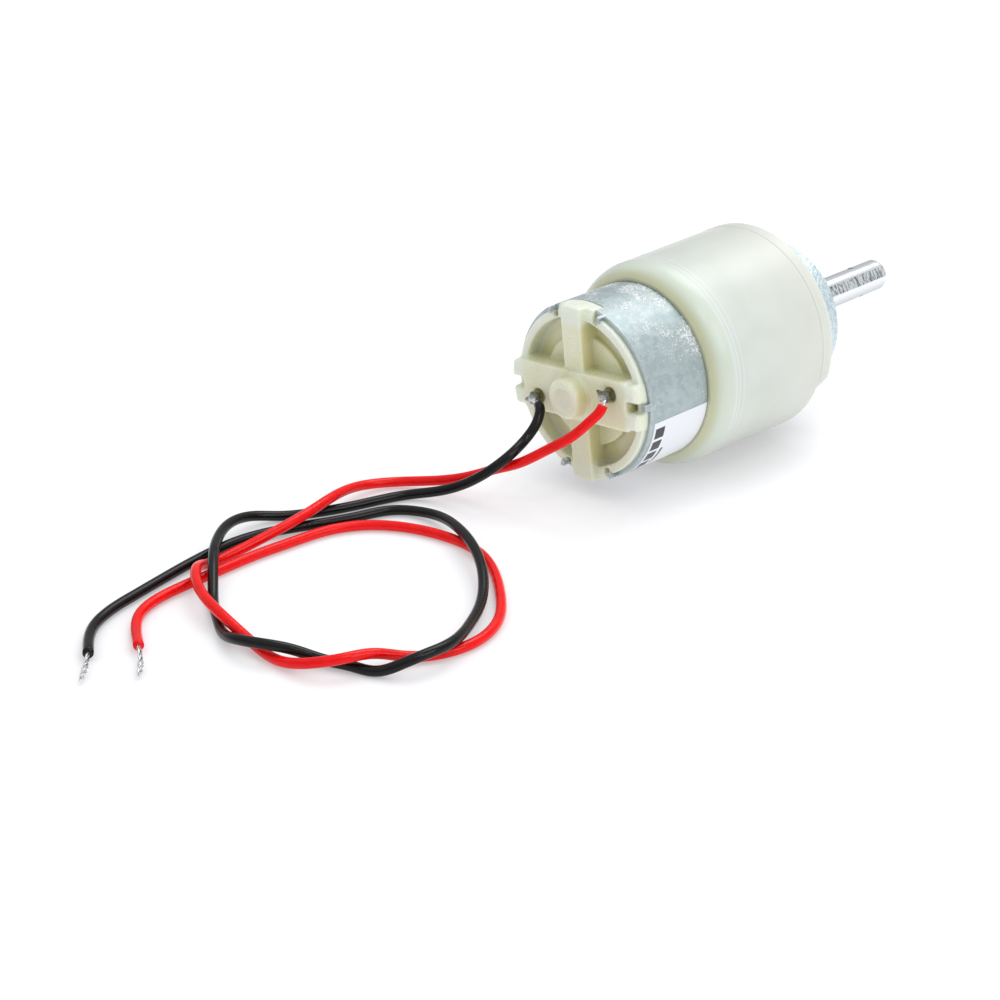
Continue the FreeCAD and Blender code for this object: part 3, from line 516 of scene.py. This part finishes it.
def cast_zinc():
    """Cast metal with a bluish plating, a coarse hammered skin and a painted highlight on its edges.
    """
    s = Shader("cast_zinc")
    pebble = s.cells(0.48, feature="SMOOTH_F1")
    grain = s.noise(0.3, 6, 0.7)
    tone = s.mix(s.span(pebble, 0.2, 0.7), (0.76, 0.86, 0.89), (0.46, 0.60, 0.66))
    tone = s.tint(tone, (0.70, 0.78, 0.81), s.span(grain, 0.35, 0.7), 0.5)
    # Painted highlight: sharp edges painted near-white.
    tone = s.mix(s.edges(0.3), tone, (0.92, 0.95, 0.97))
    s.set(
        Base_Color=tone,
        Metallic=0.55,
        Roughness=s.span(grain, 0.3, 0.7, 0.30, 0.46),
    )
    s.bump((pebble, -0.16), (grain, 0.05), rounded_mm=0.2)
    return s.material


def plated_shaft():
    """Ground bright shaft, with dark zigzag milling marks across its shallow flat, painted shade on
    its underside and a painted near-black inside its cross hole.
    """
    s = Shader("plated_shaft")
    squarely = s.facing((0, math.cos(FLAT_TURN), math.sin(FLAT_TURN)))
    flat = s.span(squarely, 0.9975, 0.9992)
    rings = s.noise(0.06, 3, 0.6, stretch=(1, 0.02, 0.02))
    marks = s.noise(0.55, 4, 0.7, stretch=(1, 0.22, 0.22), distortion=1.2)
    cut = s.span(marks, 0.44, 0.52)
    scratch = s.span(s.noise(0.5, 8, 0.8, stretch=(0.2, 1, 1)), 0.64, 0.74)
    # Painted shade: dark on the shaft's underside.
    under = s.fall(s.axis("Z"), -2.9 * MM, 0.4 * MM)
    # Painted shade: near-black inside the cross hole.
    inside = s.span(s.radius(), SHAFT_R - 0.4 * MM, SHAFT_R - 0.15 * MM, 1, 0)
    painted_bore_shade = s.times(inside, s.window(s.axis("X"), *CROSS_HOLE))
    tone = s.mix(s.span(rings, 0.3, 0.7), (0.80, 0.83, 0.85), (0.92, 0.94, 0.96))
    tone = s.tint(tone, (0.22, 0.25, 0.27), under, 0.75)
    tone = s.tint(tone, (0.5, 0.52, 0.55), scratch, 0.3)
    tone = s.mix(painted_bore_shade, tone, (0.05, 0.05, 0.05))
    milled = s.mix(cut, (0.14, 0.20, 0.20), (0.92, 0.95, 0.96))
    s.set(
        Base_Color=s.mix(flat, tone, milled),
        Metallic=s.span(painted_bore_shade, 0, 1, 1.0, 0.3),
        Roughness=s.plus(s.span(rings, 0.3, 0.7, 0.14, 0.24), s.times(flat, 0.15)),
    )
    s.bump((rings, 0.006), (s.times(cut, flat), 0.06), rounded_mm=0.1)
    return s.material


def worked_metal(name, dark, light, roughness, size_mm=0.4, depth_mm=0.02, stretch=None, metallic=1.0):
    """Plain worked metal: two tones of grain, stain in patches and a painted highlight on its edges.
    """
    s = Shader(name)
    grain = s.noise(size_mm, 6, 0.65, stretch=stretch)
    stain = s.span(s.noise(3.0, 4, 0.6), 0.5, 0.8)
    stained = tuple(0.55 * level for level in dark)
    bright = tuple(min(1, 1.15 * level) for level in light)
    tone = s.mix(s.span(grain, 0.3, 0.7), dark, light)
    tone = s.tint(tone, stained, stain, 0.35)
    # Painted highlight: lighter along sharp edges.
    tone = s.tint(tone, bright, s.edges(0.15), 0.6)
    s.set(
        Base_Color=tone,
        Metallic=metallic,
        Roughness=s.span(grain, 0.3, 0.7, roughness - 0.08, roughness + 0.08),
    )
    s.bump((grain, depth_mm), rounded_mm=0.1)
    return s.material


def enamelled_wire():
    """Windings: fine parallel turns of varnished copper."""
    s = Shader("enamelled_copper")
    turns = s.waves(0.28, distortion=0.4)
    cloud = s.noise(1.2, 4, 0.6)
    s.set(
        Base_Color=s.mix(s.span(cloud, 0.3, 0.7), (0.50, 0.17, 0.06), (0.68, 0.28, 0.11)),
        Metallic=0.85,
        Roughness=s.span(turns, 0, 1, 0.38, 0.22),
        Coat_Weight=0.4,
    )
    s.bump((turns, 0.09), (cloud, 0.05))
    return s.material


def laminations():
    """Stacked sheet steel, seen edge-on, with a blued finish."""
    s = Shader("lamination_steel")
    sheets = s.waves(0.5)
    grain = s.noise(0.3, 5, 0.6)
    s.set(
        Base_Color=s.mix(grain, (0.16, 0.17, 0.19), (0.30, 0.31, 0.34)),
        Metallic=0.9,
        Roughness=s.span(grain, 0.3, 0.7, 0.35, 0.5),
    )
    s.bump((sheets, 0.05), (grain, 0.02))
    return s.material


def bright_solder():
    """Tin solder: liquid-bright on top. Its dark patches and dark foot are partly burnt flux and
    partly
    painted: dark reflections in the patches, shade where the foot meets the cap.
    """
    s = Shader("solder")
    ripple = s.noise(0.7, 3, 0.5, distortion=0.4)
    # Burnt flux, which also stands in as painted dark reflections and painted shade at the foot.
    flux = s.span(s.noise(0.8, 3, 0.5), 0.52, 0.62)
    foot = s.rise(s.axis("X"), CAN_REAR_X - 4.3 * MM, CAN_REAR_X - 2.9 * MM)
    flux_and_painted_darks = s.most(s.times(foot, 0.9), s.times(flux, 0.6))
    s.set(
        Base_Color=s.mix(flux_and_painted_darks, (0.80, 0.82, 0.82), (0.07, 0.08, 0.06)),
        Metallic=s.span(flux_and_painted_darks, 0, 1, 1.0, 0.6),
        Roughness=s.span(flux, 0, 1, 0.08, 0.25),
    )
    s.bump((ripple, 0.15))
    return s.material


def greased_nylon():
    """Natural nylon gears under a film of pale grease."""
    s = Shader("gear_nylon")
    grease = s.span(s.noise(1.6, 5, 0.6, distortion=0.8), 0.5, 0.6)
    fine = s.noise(0.2, 4, 0.6)
    s.set(
        Base_Color=s.mix(grease, (0.86, 0.85, 0.78), (0.78, 0.72, 0.50)),
        Roughness=s.span(grease, 0, 1, 0.45, 0.18),
        Subsurface_Weight=0.5,
        Subsurface_Scale=1.0 * MM,
    )
    s.bump((fine, 0.01), (grease, 0.06), rounded_mm=0.1)
    return s.material


def make_worked_metals():
    """The finishes that differ only in tone and grain: (dark, light, roughness, the rest)."""
    looks = {
        "bright_steel": ((0.58, 0.59, 0.61), (0.78, 0.79, 0.81), 0.26, {}),
        "gear_steel": ((0.34, 0.34, 0.35), (0.52, 0.52, 0.53), 0.40, {"depth_mm": 0.04}),
        "bronze": ((0.46, 0.30, 0.14), (0.66, 0.47, 0.24), 0.42, {"size_mm": 0.2}),
        "brass": ((0.68, 0.50, 0.20), (0.85, 0.68, 0.34), 0.25, {}),
        "copper": ((0.55, 0.26, 0.14), (0.82, 0.46, 0.30), 0.32, {"stretch": (0.1, 1, 1)}),
        "tinned_metal": ((0.60, 0.61, 0.62), (0.84, 0.85, 0.86), 0.24, {"size_mm": 0.3}),
        "ferrite": (
            (0.07, 0.07, 0.08),
            (0.15, 0.15, 0.16),
            0.6,
            {"size_mm": 0.5, "depth_mm": 0.05, "metallic": 0.3},
        ),
    }
    return {
        name: worked_metal(name, dark, light, roughness, **rest)
        for name, (dark, light, roughness, rest) in looks.items()
    }


def dress_nodes():
    """Every carried CAD node gets its finish, by the record's material slot."""
    finishes = make_worked_metals()
    finishes.update(
        milky_plastic=milky_plastic(),
        cream_plastic=cream_plastic(),
        zinc=cast_zinc(),
        galvanised_steel=galvanised_steel(),
        plated_steel=plated_shaft(),
        gear_nylon=greased_nylon(),
        enamelled_copper=enamelled_wire(),
        lamination_steel=laminations(),
        solder=bright_solder(),
        label_paper=paper_label(),
        red_pvc=pvc("red_pvc", (0.80, 0.001, 0.002), (0.95, 0.006, 0.006)),
        black_pvc=pvc("black_pvc", (0.002, 0.0022, 0.0025), (0.006, 0.0065, 0.007)),
    )
    for name, slot in SLOTS.items():
        mesh = NODES[name].data
        mesh.materials.clear()
        mesh.materials.append(finishes[slot])
        for face in mesh.polygons:
            face.material_index = 0
    return finishes


def soften(node, voxel_mm, rounds):
    """Rounds a moulded node's edges with modifiers, leaving its own mesh as it is."""
    piece = NODES[node]
    skin = piece.modifiers.new("skin", "REMESH")
    skin.mode = "VOXEL"
    skin.voxel_size = voxel_mm * MM
    skin.use_smooth_shade = True
    relax = piece.modifiers.new("relax", "SMOOTH")
    relax.factor = 0.5
    relax.iterations = rounds


# --- paths and tubes ------------------------------------------------------------------
def vertices(node):
    return [v.co.copy() for v in NODES[node].data.vertices]


def skin_of(node):
    """A search tree over a CAD node's faces."""
    return BVHTree.FromPolygons(vertices(node), [f.vertices for f in NODES[node].data.polygons])


def middle(points):
    return sum(points, Vector()) / len(points)


def around(side, other, turn):
    """The way out at an angle round a tube that has these two sides."""
    return side * math.cos(turn) + other * math.sin(turn)


def centreline(node, start, heading):
    """Walks down the inside of a CAD rod, centring on its wall at each step."""
    wall = skin_of(node)
    points = [start]
    place = start + heading * FIRST_STEP
    while len(points) < MOST_STEPS:
        hit, normal, _, _ = wall.ray_cast(place, heading, LOOK_AHEAD)
        if hit is not None and abs(normal.dot(heading)) > SQUARE_ON:
            points.append(hit)
            break
        place = place + heading * WALK_STEP
        side = heading.orthogonal().normalized()
        other = heading.cross(side)
        ways = [around(side, other, math.tau * k / WALL_RAYS) for k in range(WALL_RAYS)]
        casts = [wall.ray_cast(place, way, WALL_REACH)[0] for way in ways]
        hits = [spot for spot in casts if spot is not None]
        if len(hits) >= FEWEST_HITS:
            place = middle(hits)
        heading = (place - points[-1]).normalized()
        points.append(place)
    return points


def smoothed(points, rounds):
    for _ in range(rounds):
        inner = [(a + b * 2 + c) / 4 for a, b, c in zip(points, points[1:], points[2:])]
        points = [points[0]] + inner + [points[-1]]
    return points


def resampled(points, step):
    """Points about a step apart along a path, rounded at its corners."""
    lengths = [0.0]
    for a, b in zip(points, points[1:]):
        lengths.append(lengths[-1] + (b - a).length)
    count = max(4, int(lengths[-1] / step))
    made = []
    j = 0
    for i in range(count + 1):
        want = lengths[-1] * i / count
        while j < len(points) - 2 and lengths[j + 1] < want:
            j += 1
        share = (want - lengths[j]) / max(lengths[j + 1] - lengths[j], 1e-9)
        made.append(points[j].lerp(points[j + 1], share))
    return smoothed(made, rounds=6)


def path_frames(points):
    """A tangent and two sides at each point, turning as little as possible."""
    side = (points[1] - points[0]).orthogonal().normalized()
    made = []
    for before, after in zip([points[0]] + points, points[1:] + [points[-1]]):
        along = (after - before).normalized()
        side = (side - along * side.dot(along)).normalized()
        made.append((along, side, along.cross(side)))
    return made


def swept(bm, points, radius_at, sides):
    """Adds a closed tube along points; radius_at(i, k) gives each vertex's distance out."""
    rings = []
    for i, (point, (_, side, other)) in enumerate(zip(points, path_frames(points))):
        ring = []
        for k in range(sides):
            out = around(side, other, math.tau * k / sides)
            ring.append(bm.verts.new(point + out * radius_at(i, k)))
        rings.append(ring)
    for first, second in zip(rings, rings[1:]):
        for k in range(sides):
            after = (k + 1) % sides
            bm.faces.new((first[k], first[after], second[after], second[k]))
    bm.faces.new(list(reversed(rings[0])))
    bm.faces.new(rings[-1])


def add_piece(name, bm, node, material):
    """Makes a smooth-shaded piece on the fixed body that stands for a CAD node."""
    bmesh.ops.recalc_face_normals(bm, faces=bm.faces)
    mesh = bpy.data.meshes.new(name)
    bm.to_mesh(mesh)
    bm.free()
    mesh.shade_smooth()
    mesh.materials.append(material)
    piece = bpy.data.objects.new(name, mesh)
    bpy.context.scene.collection.objects.link(piece)
    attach(piece, "root")
    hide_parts(node)


# --- the leads, strands and solder ----------------------------------------------------
def bare_starts(lead, strands):
    """Where a lead's insulation ends: (centre, way out along the strands), motor end first."""
    skin = skin_of(lead)
    halfway = middle(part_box(strands)).x
    ends = []
    for side in (1, -1):
        rod = [v for v in vertices(strands) if (v.x - halfway) * side > 0]
        touching = [v for v in rod if skin.find_nearest(v)[3] < TOUCHING]
        centre = middle(touching)
        ends.append((centre, (middle(rod) - centre).normalized()))
    return ends


def make_lead(colour, finishes):
    """The insulation as one smooth, slightly uneven tube with hollow cut ends."""
    lead = colour + "_lead"
    near, far = bare_starts(lead, colour + "_strands")
    line = smoothed(centreline(lead, near[0], -near[1]), rounds=2)
    ends = path_frames(line)
    first_way = ends[0][0]
    last_way = ends[-1][0]
    first_lip = [line[0] + first_way * MOUTH_DEPTH, line[0] + first_way * LIP_SETBACK]
    last_lip = [line[-1] - last_way * LIP_SETBACK, line[-1] - last_way * MOUTH_DEPTH]
    points = first_lip + line + last_lip
    last = len(points) - 1

    def radius_at(i, k):
        from_end = min(i, last - i)
        if from_end == 0:
            return MOUTH_R
        if from_end == 1:
            return LIP_R
        shift = UNEVEN_ROUND * math.cos(math.tau * k / LEAD_SIDES)
        uneven = UNEVEN * noise.noise(points[i] / UNEVEN_LENGTH + Vector((0, 0, shift)))
        pinched = PINCH if from_end == 2 else 0.0
        return LEAD_R * (FIT + uneven - pinched)

    bm = bmesh.new()
    swept(bm, points, radius_at, LEAD_SIDES)
    add_piece(colour + "_insulation", bm, lead, finishes[colour + "_pvc"])
    return near, far


def wound(line, sides, turn, fray, peak, short, core):
    """One wire's path: wound round the line, and bulging out near the peak."""
    path = []
    for i in range(int(len(line) * (1 - short))):
        share = i / (len(line) - 1)
        turned = turn + share * TWIST_TURNS * math.tau * (1 + FRAY_TWIST * fray)
        bulge = FRAY_BULGE * math.exp(-((share - peak) / BULGE_LENGTH) ** 2) * fray
        reach = bulge * 0.5 if core else WIRE_CIRCLE_R + bulge
        _, side, other = sides[i]
        path.append(line[i] + around(side, other, turned) * reach)
    return path


def add_wire(bm, path):
    """A fine wire along a path, cut to a smaller end."""
    tip = len(path) - 1
    swept(bm, path, lambda i, k: WIRE_TIP_R if i == tip else WIRE_R, WIRE_SIDES)


def make_strands(colour, near, far, finishes, draw):
    """Fine tinned wires, twisted together and splayed a little at the free end."""
    node = colour + "_strands"
    bm = bmesh.new()
    for (start, way), free in ((near, False), (far, True)):
        roots = [start - way * depth for depth in WIRE_ROOTS]
        line = resampled(roots + centreline(node, start, way), WIRE_STEP)
        sides = path_frames(line)
        peak = draw.uniform(*BULGE_PLACE)
        for wire in range(WIRES):
            turn = math.tau * wire / WIRES + draw.uniform(-TURN_ERROR, TURN_ERROR)
            fray = draw.uniform(*FREE_FRAY) if free else FIXED_FRAY
            short = draw.uniform(*SHORTFALL) if free else 0.0
            add_wire(bm, wound(line, sides, turn, fray, peak, short, core=wire == 0))
    add_piece(colour + "_twisted_strands", bm, node, finishes["tinned_metal"])


def bead_spikes(tip, towards, draw):
    """A bead's spikes as (way, height, sharpness): its tip, its wire's and some small ones."""
    spikes = [(tip.normalized(), *TIP_SPIKE), (towards.normalized(), *WIRE_SPIKE)]
    for _ in range(SMALL_SPIKES):
        way = Vector((-draw.uniform(0.2, 1.0), draw.uniform(-1, 1), draw.uniform(-1, 1)))
        height, sharpness = draw.uniform(*SMALL_HEIGHTS), draw.uniform(*SMALL_SHARPNESSES)
        spikes.append((way.normalized(), height, sharpness))
    return spikes


def make_solder(side, lead_end, finishes, draw, tip):
    """A lumpy bead round the terminal, drawn out towards the wire, with small spikes."""
    low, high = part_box(side + "_solder")
    centre = (low + high) / 2
    size = min(high - low) / 2
    spikes = bead_spikes(tip, lead_end - centre, draw)
    offset = Vector((draw.uniform(0, 9), draw.uniform(0, 9), draw.uniform(0, 9)))
    bm = bmesh.new()
    bmesh.ops.create_icosphere(bm, subdivisions=6, radius=1.0)
    for v in bm.verts:
        way = v.co.normalized()
        reach = BEAD_R
        for height, scale in BEAD_LUMPS:
            reach += height * noise.noise(way * scale + offset)
        for spike, height, sharpness in spikes:
            reach += height * math.exp(-2 * sharpness * (1 - way.dot(spike)))
        v.co = centre + way * reach * size
    add_piece(side + "_solder_bead", bm, side + "_solder", finishes["solder"])


def make_leads(finishes):
    draw = random.Random(11)
    red_near, red_far = make_lead("red", finishes)
    black_near, black_far = make_lead("black", finishes)
    make_strands("red", red_near, red_far, finishes, draw)
    make_strands("black", black_near, black_far, finishes, draw)
    make_solder("right", red_near[0], finishes, draw, Vector((-0.1, 0.9, 0.4)))
    make_solder("left", black_near[0], finishes, draw, Vector((-0.5, 0.9, -0.3)))


# --- stage ----------------------------------------------------------------------------
def make_room():
    """A bright room: strongest overhead, dimmer towards the horizon."""
    world = bpy.data.worlds.new("room")
    bpy.context.scene.world = world
    world.use_nodes = True
    tree = world.node_tree
    way = tree.nodes.new("ShaderNodeTexCoord").outputs["Generated"]
    split = tree.nodes.new("ShaderNodeSeparateXYZ")
    tree.links.new(way, split.inputs[0])
    ramp = tree.nodes.new("ShaderNodeValToRGB")
    tree.links.new(split.outputs["Z"], ramp.inputs[0])
    while len(ramp.color_ramp.elements) < len(ROOM_LEVELS):
        ramp.color_ramp.elements.new(0.5)
    for stop, (height, level) in zip(ramp.color_ramp.elements, ROOM_LEVELS):
        stop.position = height
        stop.color = (*(level * share for share in ROOM_TINT), 1)
    back = tree.nodes["Background"]
    tree.links.new(ramp.outputs[0], back.inputs["Color"])
    back.inputs["Strength"].default_value = 1.0


def make_floor():
    """A wide pale floor with a glow of its own that fades under whatever stands on it,
    a painted contact shadow.
    """
    size = FLOOR_SIZE
    mesh = bpy.data.meshes.new("floor")
    corners = [(-size, -size, 0), (size, -size, 0), (size, size, 0), (-size, size, 0)]
    mesh.from_pydata(corners, [], [(0, 1, 2, 3)])
    floor = bpy.data.objects.new("floor", mesh)
    floor.location = (0, 0, GROUND_Z - FLOOR_GAP)
    bpy.context.scene.collection.objects.link(floor)
    s = Shader("floor")
    s.set(
        Base_Color=(0.42, 0.42, 0.43),
        Roughness=0.9,
        Specular_IOR_Level=0.1,
        Emission_Color=(0.99, 0.99, 1.0),
        # Painted shadow: the glow dims near the parts above it.
        Emission_Strength=s.span(s.recess(11), 0.2, 0.95, 0.36, 0.62),
    )
    mesh.materials.append(s.material)


def make_lamps():
    """Two large soft lamps, and a small one that puts thin highlights on glossy parts."""
    for name, place, width, power in LAMPS:
        light = bpy.data.lights.new(name, "AREA")
        light.shape = "DISK"
        light.size = width
        light.energy = power
        lamp = bpy.data.objects.new(name, light)
        lamp.location = place
        aim = LAMP_AIM - Vector(place)
        lamp.rotation_euler = aim.to_track_quat("-Z", "Y").to_euler()
        bpy.context.scene.collection.objects.link(lamp)


def make_camera():
    data = bpy.data.cameras.new("camera")
    data.lens = LENS_MM
    data.sensor_width = SENSOR_MM
    camera = bpy.data.objects.new("camera", data)
    bpy.context.scene.collection.objects.link(camera)
    level = math.cos(CAMERA_ELEVATION)
    ahead = Vector((
        -math.sin(CAMERA_AZIMUTH) * level,
        math.cos(CAMERA_AZIMUTH) * level,
        -math.sin(CAMERA_ELEVATION),
    ))
    camera.location = CAMERA_PLACE
    camera.rotation_euler = ahead.to_track_quat("-Z", "Y").to_euler()
    bpy.context.scene.camera = camera


def make_stage():
    make_floor()
    make_room()
    make_lamps()
    make_camera()
    bpy.context.scene.view_settings.view_transform = "Standard"


finishes = dress_nodes()
make_leads(finishes)
soften("end_cap", voxel_mm=0.2, rounds=9)
make_stage()
